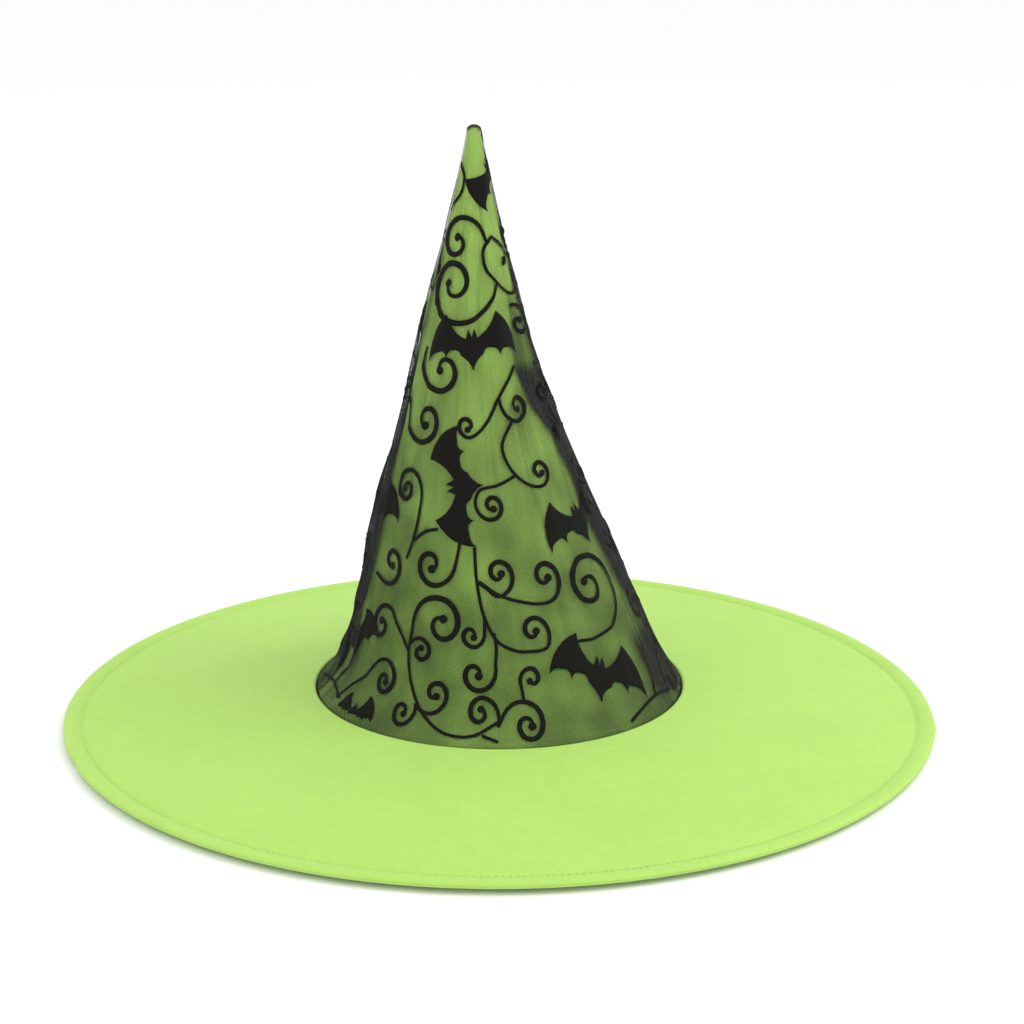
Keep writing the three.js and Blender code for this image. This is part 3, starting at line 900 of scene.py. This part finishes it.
# Crown: cloth cone, stiffener inside it and net over it
def crownLayer(name, lift, slack, around, drops, material):
    # A cone of cloth from its drops, with the flat pattern as its UV map.
    verts, faces, corners = [], [], []
    for drop in drops:
        for column in range(around):
            turn = -math.pi + 2 * math.pi * column / around
            verts.append(crownPoint(turn, drop, lift, slack))
    for row in range(len(drops) - 1):
        for column in range(around):
            after = (column + 1) % around
            below, above = (row + 1) * around, row * around
            face = [below + column, below + after, above + after, above + column]
            places = [(column, row + 1), (column + 1, row + 1), (column + 1, row), (column, row)]
            faces.append(face)
            corners += places
    mesh = bpy.data.meshes.new(name)
    mesh.from_pydata(verts, [], faces)
    flat = mesh.uv_layers.new(name="flat")
    for corner, (column, row) in zip(flat.data, corners):
        corner.uv = flatPoint(-math.pi + 2 * math.pi * column / around, drops[row])
    if slack:
        # How dark each point of the net is drawn: partly gathered net, partly painted shade.
        gatherAndShadeAmount = [gatherAndShadeAt(-math.pi + 2 * math.pi * column / around, drop)
                     for drop in drops for column in range(around)]
        mesh.attributes.new("gatherAndShade", "FLOAT", "POINT").data.foreach_set("value", gatherAndShadeAmount)
    setSmooth(mesh)
    mesh.materials.append(material)
    return bpy.data.objects.new(name, mesh)


def dropAt(height):
    return (tipHeight - height) / crownHeight if height > seamHeight else 1 + (seamHeight - height) / slant


def closeTip(piece, around):
    # Shuts the first ring of a cone with a fan of triangles.
    shape = bmesh.new()
    shape.from_mesh(piece.data)
    shape.verts.ensure_lookup_table()
    ring = [shape.verts[column] for column in range(around)]
    centre = sum((vertex.co for vertex in ring), Vector()) / around
    middle = shape.verts.new(centre + Vector((0, 0, 0.1 * mm)))
    flat = shape.loops.layers.uv.active
    for column in range(around):
        face = shape.faces.new([ring[column], ring[(column + 1) % around], middle])
        face.smooth = True
        for corner in face.loops:
            corner[flat].uv = (0.0, 0.0002)
    shape.to_mesh(piece.data)
    shape.free()
    return piece


def coneDrops(rows):
    # Rows of a cone from the tip to its seam allowance, closer together near the tip.
    plain = [(row / rows) ** crownShape["rowCrowding"] for row in range(1, rows + 1)]
    return [0.0006] + plain + [1.01, 1.02, dropAt(allowanceEnd)]


cloth = closeTip(crownLayer("crown_cloth_panel", 0, 0, crownShape["around"], coneDrops(crownShape["rows"]),
                            crownLime), crownShape["around"])
link(thicken(cloth, 0.5 * mm), "lime_cloth", "crown_cloth")
net = closeTip(crownLayer("crown_net", crownShape["netInset"], 1, crownShape["netAround"],
                          coneDrops(crownShape["netRows"]), netBlack), crownShape["netAround"])
link(thicken(net, crownShape["netThickness"], 0), "flocked_net", "crown_net_overlay")
liningSet = {"top": 0.165, "rows": 60, "around": 256, "depth": 1.35 * mm, "thickness": 0.6 * mm}
liningSpan = dropAt(liningBox[0].z) - liningSet["top"]
liningRows = liningSet["rows"]
liningDrops = [liningSet["top"] + liningSpan * row / liningRows for row in range(liningRows + 1)]
lining = crownLayer("crown_stiffener_cone", -liningSet["depth"], 0, liningSet["around"],
                    liningDrops, nonWoven)
link(thicken(lining, liningSet["thickness"], 0), "non_woven", "crown_stiffener")
print("crown made")


# Flock on the net: curls, stems and bats, placed by (share of the slant, degrees round from the front)
flockLook = {
    "thin": 0.78 * mm,
    "least": 0.1 * mm,
    "swell": 0.03,
    "eye": 2.1 * mm,
    "eyeLeast": 1.1 * mm,
    "eyeGrowth": 0.07,
    "inner": 1.9 * mm,  # smallest radius of a curl's innermost turn
    "innerShare": 0.17,
    "unwind": 1.8,  # radians that a curl may open past its root to meet its stem
    "pile": 0.18 * mm,
    "edgePile": 0.45,
    "foot": 0.12 * mm,
    "step": 1.7 * mm,
    "lift": 0.74 * mm,
}

# share, degrees, size in mm, bearing of its root (0 right, 90 up), turns (+ anticlockwise), then its stem
curls = [
    (0.192, -32, 16.5, 12, 1.2, [(0.193, 24)]),
    (0.26, -28, 23.5, -5, -1.5, [(0.258, 33)]),
    (0.222, 52, 2.8, -90, 0.25, []),
    (0.33, 58, 10, 120, -1.2, []),
    (0.40, -29, 18, 143, 1.15, []),
    (0.487, -7, 6.5, -40, -1.1, [(0.485, 7), (0.445, 19), (0.395, 37)]),
    (0.46, 33, 10, 172, 1.3, [(0.447, 19)]),
    (0.487, -41, 16, 165, 1.3, [(0.46, -63), (0.435, -70)]),
    (0.571, 39, 7.5, -110, 1.2, [(0.572, 22), (0.525, 16), (0.483, 26)]),
    (0.617, 5, 9, 180, 1.3, [(0.595, -2), (0.585, 10), (0.573, 21)]),
    (0.607, -50, 12, 10, 1.5, [(0.64, -37), (0.685, -39), (0.72, -43)]),
    (0.735, -54, 14, -147, 1.25, []),
    (0.719, -28, 14.5, 15, -1.25, [(0.69, -14), (0.675, -13)]),
    (0.728, 4, 11, -95, 1.25, [(0.752, -2), (0.742, -6)]),
    (0.74, 26, 13, -110, 1.25, [(0.775, 12), (0.762, 3), (0.742, -5)]),
    (0.77, 49, 20, -22, 1.45, [(0.84, 56), (0.855, 45), (0.853, 33)]),
    (0.825, 16, 10.5, -40, 1.1, [(0.857, 12), (0.842, 2), (0.80, -3.5), (0.74, -6), (0.685, -6)]),
    (0.83, -9.5, 8, 25, -1.15, [(0.80, -3.5)]),
    (0.892, -8, 13, 45, -1.2, [(0.845, 0.5), (0.825, 0)]),
    (0.817, -22, 18.5, 195, -1.35,
     [(0.87, -36), (0.92, -32), (0.955, -27), (0.983, -18), (0.985, -8), (0.965, 0)]),
    (0.953, -6, 10, -15, 1.25, [(0.97, 0)]),
    (0.866, -30, 8, 160, -1.2, []),
    (0.845, -54, 14, 0, 1.3, [(0.87, -36)]),
    (0.928, -22.5, 10.5, -125, 1.2, [(0.955, -28)]),
    (0.964, -33.5, 8.5, 40, -1.2, []),
    (0.928, -45, 11, 135, -1.4, [(0.935, -56), (0.96, -62), (0.985, -66)]),
    (0.90, 13, 8.5, -110, -1.1, [(0.937, 9)]),
    (0.97, 9.5, 13, 165, -1.5, [(0.972, 0)]),
    (0.52, 66, 13, -100, 1.3, []),
    (0.45, 70, 9, 60, -1.2, [(0.40, 66)]),
]
# share, degrees, span in mm, degrees its head is turned from upright (+ anticlockwise)
bats = [
    (0.07, 90, 44, 45),
    (0.352, -2, 56, 4),
    (0.588, -14, 58, 98),
    (0.66, 57, 56, 12),
    (0.908, 41, 60, -22),
    (0.885, -71, 46, 25),
    (0.63, -78, 40, 80),
    (0.988, -53, 30, 8),
]
loneStems = [
    [(0.062, -70), (0.083, -38), (0.112, -42), (0.142, -75)],
    [(0.182, 34), (0.205, 17), (0.235, 19), (0.258, 34), (0.28, 58), (0.245, 74), (0.20, 58), (0.182, 34)],
    [(0.66, -25), (0.667, -32), (0.685, -38)],
    [(0.992, 45), (0.982, 52), (0.975, 63), (0.983, 73)],
    [(0.976, 62), (0.935, 67), (0.90, 68)],
    [(0.984, -5), (0.992, 0)],
]
# The print comes again on both sides of the back seam: degrees of shift, and which motifs come again
printRepeats = [0, 137, -137]
repeatSet = {"curlsWithin": 57, "batsFrom": -60, "below": 0.15}
printLimits = {"seam": 0.02, "top": 0.03, "bottom": 0.993}  # radians from the back seam, shares of the slant

# Half of a bat as wide as 1: corners as (across, up, bulge of the edge to the next corner)
batHalf = [(0.0, 0.08, 0.0), (0.06, 0.23, 0.0), (0.12, 0.06, -0.12), (0.50, 0.52, 0.15), (1.0, -0.22, -0.16),
           (0.76, -0.10, -0.28), (0.57, -0.24, -0.24), (0.39, -0.11, -0.22), (0.23, -0.22, -0.12),
           (0.0, -0.50, 0.0)]


def standing(share, degrees, shift):
    # The middle of a motif on the flat cloth, with its own right and up directions.
    lay = math.radians(degrees + shift) * fanShare
    middle = Vector((math.sin(lay), math.cos(lay))) * slant * share
    return middle, Vector((math.cos(lay), -math.sin(lay))), Vector((-math.sin(lay), -math.cos(lay)))


def eased(points, step):
    # A smooth line through the points, however unevenly they are spaced.
    ends = [points[0] * 2 - points[1]] + points + [points[-1] * 2 - points[-2]]
    gaps = [max(1e-6, (after - before).length) for before, after in zip(ends, ends[1:])]
    slopes = [(after - before) / gap for before, after, gap in zip(ends, ends[1:], gaps)]
    headings = [(slopes[i] * gaps[i + 1] + slopes[i + 1] * gaps[i]) / (gaps[i] + gaps[i + 1])
                for i in range(len(points))]
    line = []
    for i in range(len(points) - 1):
        gap = gaps[i + 1]
        count = max(1, round(gap / step))
        for part in range(count):
            t = part / count
            line.append(points[i] * (2 * t ** 3 - 3 * t ** 2 + 1)
                        + headings[i] * gap * (t ** 3 - 2 * t ** 2 + t)
                        + points[i + 1] * (3 * t ** 2 - 2 * t ** 3)
                        + headings[i + 1] * gap * (t ** 3 - t ** 2))
    return line + [points[-1]]


def curlLine(curl, shift):
    # From the eye outwards, until the curl heads for its stem; also the count of points in the curl itself.
    share, degrees, size, bearing, turns, stem = curl
    middle, right, up = standing(share, degrees, shift)
    size *= mm
    inner = max(flockLook["inner"], flockLook["innerShare"] * size)
    total = 2 * math.pi * abs(turns)
    tighten = math.log(size / inner) / total
    via = [standing(*spot, shift)[0] for spot in stem]
    line, wound, bestAim, best = [], total, -1.0, 0
    while wound > (-flockLook["unwind"] if via else 0.0):
        radius = size * math.exp(-tighten * wound)
        angle = math.radians(bearing) + math.copysign(wound, turns)
        line.append(middle + (right * math.cos(angle) + up * math.sin(angle)) * radius)
        if via and wound < 1.6:
            aim = (line[-1] - line[-2]).normalized().dot((via[0] - line[-1]).normalized())
            if aim > bestAim:
                bestAim, best = aim, len(line)
        wound -= min(0.3, flockLook["step"] / radius)
    if not via:
        return line, len(line)
    return line[:best - 2] + eased(line[best - 2:best] + via, flockLook["step"]), best


def printable(point):
    turn, drop = fromFlat(point.x, point.y)
    return abs(turn) < math.pi - printLimits["seam"] and printLimits["top"] < drop < printLimits["bottom"]


def onNet(point, lift):
    turn, drop = fromFlat(point.x, point.y)
    widest = math.pi - printLimits["seam"]
    drop = min(printLimits["bottom"], max(printLimits["top"], drop))
    return crownPoint(min(widest, max(-widest, turn)), drop, lift, 1)


def outwardAt(point):
    middle = onNet(point, flockLook["lift"])
    side = onNet(point + Vector((0.6 * mm, 0)), flockLook["lift"]) - middle
    down = onNet(point + Vector((0, 0.6 * mm)), flockLook["lift"]) - middle
    return down.cross(side).normalized()


def strokeWidth(along, curlEnd, size):
    # Half the width of a stroke: full round the curl, fine in its stem.
    swell = math.sin(math.pi * min(1.0, along / max(1, curlEnd)))
    return flockLook["thin"] + (flockLook["swell"] * size + flockLook["least"]) * max(0.0, swell)


def printStrokes():
    points, edges, ups, widths, eyes, lines = [], [], [], [], [], []
    for shift in printRepeats:
        for curl in curls:
            if shift == 0 or abs(curl[1]) < repeatSet["curlsWithin"]:
                lines.append((*curlLine(curl, shift), curl[2] * mm))
        for stem in loneStems:
            if shift == 0 or stem[0][0] > repeatSet["below"]:
                lines.append((eased([standing(*spot, shift)[0] for spot in stem], flockLook["step"]), 0, 0.0))
    for line, curlEnd, size in lines:
        joined = False
        for along, point in enumerate(line):
            if not printable(point):
                joined = False
                continue
            points.append(onNet(point, flockLook["lift"]))
            ups.append(outwardAt(point))
            widths.append(strokeWidth(along, curlEnd, size) if curlEnd else flockLook["thin"])
            eye = min(flockLook["eye"], flockLook["eyeLeast"] + flockLook["eyeGrowth"] * size)
            eyes.append(eye if curlEnd and along == 0 else 0.0)
            if joined:
                edges.append((len(points) - 2, len(points) - 1))
            joined = True
    return makeGuide("strokes", points, edges, {"halfWidth": widths, "eye": eyes}, {"up": ups})


def batOutline():
    # The half outline with its arcs, then its mirror image.
    half = []
    for (x, y, bulge), (nextX, nextY, _) in zip(batHalf, batHalf[1:]):
        start, stop = Vector((x, y)), Vector((nextX, nextY))
        side = Vector((-(stop - start).y, (stop - start).x))
        count = 6 if bulge else 2
        for part in range(count):
            t = part / count
            half.append(start.lerp(stop, t) + side * bulge * 4 * t * (1 - t))
    half.append(Vector(batHalf[-1][:2]))
    return half + [Vector((-point.x, point.y)) for point in reversed(half[1:-1])]


def inside(point, outline):
    crossed = False
    for first, second in zip(outline, outline[1:] + outline[:1]):
        if (first.y > point.y) != (second.y > point.y):
            if point.x < first.x + (point.y - first.y) * (second.x - first.x) / (second.y - first.y):
                crossed = not crossed
    return crossed


def printBats():
    # Each bat is a thin slab with a soft edge: its middle stands up by the pile, and its foot is in the net.
    outline = batOutline()[::-1]
    fill = []
    spacing, margin = 0.075, 0.035
    for row in range(-8, 9):
        for column in range(-14, 15):
            spot = Vector(((column + 0.5 * (row % 2)) * spacing, row * spacing * 0.87))
            if inside(spot, outline) and min((spot - edge).length for edge in outline) > margin:
                fill.append(spot)
    count = len(outline)
    loop = [(step, (step + 1) % count) for step in range(count)]
    spots, _, triangles, _, _, _ = delaunay_2d_cdt(outline + fill, loop, [], 1, 1e-7)
    verts, faces = [], []
    for shift in printRepeats:
        for share, degrees, span, tilt in bats:
            if shift and (share < repeatSet["below"] or degrees < repeatSet["batsFrom"]):
                continue
            middle, right, up = standing(share, degrees, shift)
            tilt = math.radians(tilt)
            ahead = right * math.cos(tilt) + up * math.sin(tilt)
            above = up * math.cos(tilt) - right * math.sin(tilt)
            flat = [middle + (ahead * spot.x + above * spot.y) * span * mm / 2 for spot in spots]
            kept = [triangle for triangle in triangles if all(printable(flat[i]) for i in triangle)]
            sides = {(a, b) for triangle in kept for a, b in zip(triangle, triangle[1:] + triangle[:1])}
            rim = [(a, b) for a, b in sides if (b, a) not in sides]
            onRim = {a for a, b in rim}
            top, foot = {}, {}
            for i in sorted({i for triangle in kept for i in triangle}):
                pile = flockLook["pile"] * (flockLook["edgePile"] if i in onRim else 1.0)
                top[i], foot[i] = len(verts), len(verts) + 1
                verts.append(onNet(flat[i], flockLook["lift"] + pile))
                verts.append(onNet(flat[i], flockLook["lift"] - flockLook["foot"]))
            for triangle in kept:
                faces.append([top[i] for i in triangle])
                faces.append([foot[i] for i in reversed(triangle)])
            faces += [[top[b], top[a], foot[a], foot[b]] for a, b in sorted(rim)]
    mesh = bpy.data.meshes.new("flock_bats")
    mesh.from_pydata(verts, [], faces)
    setSmooth(mesh)
    mesh.materials.append(flockBlack)
    return bpy.data.objects.new("flock_bats", mesh)


link(growMesh("flock_curls", printStrokes(), flockStroke, {"Pile": flockLook["pile"], "Sides": 8,
                                                          "Material": flockBlack}), "flocked_net")
link(printBats(), "flocked_net")
print("flock printed")


# Inside of the opening, and the threads that hold the crown
openingSet = {
    "seamHeight": seamHeight - 4 * mm,
    "bastingHeight": seamHeight - 7 * mm,
    "threadRadius": crownRadius - 1.7 * mm,
    "bandDepth": 2.45 * mm,
    "bandThickness": 0.72 * mm,
    "bandRows": 16,
    "bandThreadRadius": crownRadius - 3.75 * mm,
    "backSeamDepth": 1.75 * mm,
}

sewn("crown_seam_needle_stitches",
     ringLine("seam", openingSet["threadRadius"], openingSet["seamHeight"], (-1, 0), 200, onBrim=False),
     limeThread, "lime_thread", "crown_seam_needle_thread", Arch=0.12 * mm, Dip=0.15 * mm, Seed=5)
sewn("crown_seam_bobbin_stitches",
     ringLine("seamUnder", openingRadius + 1.0 * mm, openingSet["seamHeight"], (1, 0), 200, onBrim=False),
     limeThread, "lime_thread", "crown_seam_bobbin_thread", Arch=0.1 * mm, Dip=0.15 * mm, Seed=6)
sewn("net_basting_stitches",
     ringLine("basting", openingSet["threadRadius"], openingSet["bastingHeight"], (-1, 0), 200, onBrim=False),
     blackThread, "black_thread", "net_basting_thread",
     Arch=0.12 * mm, Dip=0.15 * mm, Stitch_Length=6 * mm, Gap=2.5 * mm, Seed=7)

bandRows, bandLow, bandHigh = openingSet["bandRows"], bandBox[0].z, bandBox[1].z
bandDrops = [dropAt(bandHigh + (bandLow - bandHigh) * row / bandRows) for row in range(bandRows + 1)]
band = crownLayer("sweatband_tape", -openingSet["bandDepth"], 0, 256, bandDrops, tapeBlack)
link(thicken(band, openingSet["bandThickness"], 0), "band_tape", "sweatband")
sewn("sweatband_stitches",
     ringLine("band", openingSet["bandThreadRadius"], bandBox[0].z + 2 * mm, (-1, 0), 200, onBrim=False),
     blackThread, "black_thread", "sweatband_thread", Arch=0.15 * mm, Seed=8)


def backSeamLine():
    # Down the inside of the crown at the back, on its lining.
    count, points, ups = 60, [], []
    for step in range(count + 1):
        height = backSeamBox[1].z + (backSeamBox[0].z - backSeamBox[1].z) * step / count
        points.append(crownPoint(math.pi, dropAt(height), -openingSet["backSeamDepth"]))
        ups.append((0, -1, 0))
    return makeGuide("backSeam", points, [(i, i + 1) for i in range(count)], vectors={"up": ups})


sewn("crown_back_seam_stitches", backSeamLine(), limeThread, "lime_thread", "crown_back_seam_thread",
     Thread=0.55 * mm, Arch=0.15 * mm, Dip=0.1 * mm, Seed=9)


tackSet = {"thread": 0.65 * mm, "passes": (0.5, 0.0, -0.5), "across": 0.86, "tailTurn": 118, "tailEnd": 0.03}


def tipTackLine():
    # Side to side over the rounded tip in a few passes, then a short tail.
    out, points = crownShape["netInset"] + 0.25 * mm, []
    for index, deep in enumerate(tackSet["passes"]):
        run = []
        for step in range(17):
            across = tackSet["across"] * math.sin(math.pi * (step / 16 - 0.5))
            reach = min(0.98, math.hypot(across, deep))
            drop = crownShape["tipRound"] * (1 - math.sqrt(1 - reach ** 2))
            run.append(crownPoint(math.atan2(across, deep), max(drop, 0.0002), out))
        points += run[::-1] if index % 2 else run
    tailTurn = math.radians(tackSet["tailTurn"])
    for step in range(1, 9):
        points.append(crownPoint(tailTurn, 0.01 + (tackSet["tailEnd"] - 0.01) * step / 8, out))
    return makeGuide("tipTack", points, [(i, i + 1) for i in range(len(points) - 1)])


link(growMesh("tip_tack_windings", tipTackLine(), roundStrand, {"Width": tackSet["thread"], "Sides": 8,
                                                               "Material": blackThread}),
     "black_thread", "tip_tack_thread")


labelSet = {"turn": 20, "wide": 25 * mm, "bow": 0.9 * mm, "back": 0.3 * mm, "lean": 8.5 * mm,
            "thickness": 0.3 * mm}


def makeLabel():
    # A blank satin tab, bowed a little away from the lining, with its top edge in the seam.
    low, high = labelBox
    middle = (low + high) / 2
    turn = math.radians(labelSet["turn"])
    sideways = Vector((math.cos(turn), math.sin(turn), 0))
    wide, tall = labelSet["wide"], high.z - low.z
    slope = Vector((math.sin(turn), -math.cos(turn), 0))
    across, down, verts, faces = 12, 16, [], []
    for row in range(down + 1):
        for column in range(across + 1):
            u, v = column / across - 0.5, row / down - 0.5
            bow = labelSet["bow"] * math.cos(math.pi * u) * (0.5 + v) - labelSet["back"]
            lean = v * labelSet["lean"]
            verts.append(middle + sideways * wide * u + slope * (bow - lean) + Vector((0, 0, -tall * v)))
    for row in range(down):
        for column in range(across):
            corner = row * (across + 1) + column
            faces.append((corner, corner + 1, corner + across + 2, corner + across + 1))
    mesh = bpy.data.meshes.new("care_label_tab")
    mesh.from_pydata(verts, [], faces)
    setSmooth(mesh)
    mesh.materials.append(labelSatin)
    return thicken(bpy.data.objects.new("care_label_tab", mesh), labelSet["thickness"], 0)


label = link(makeLabel(), "label_satin", "care_label")
print("opening made")

print("hat finished")
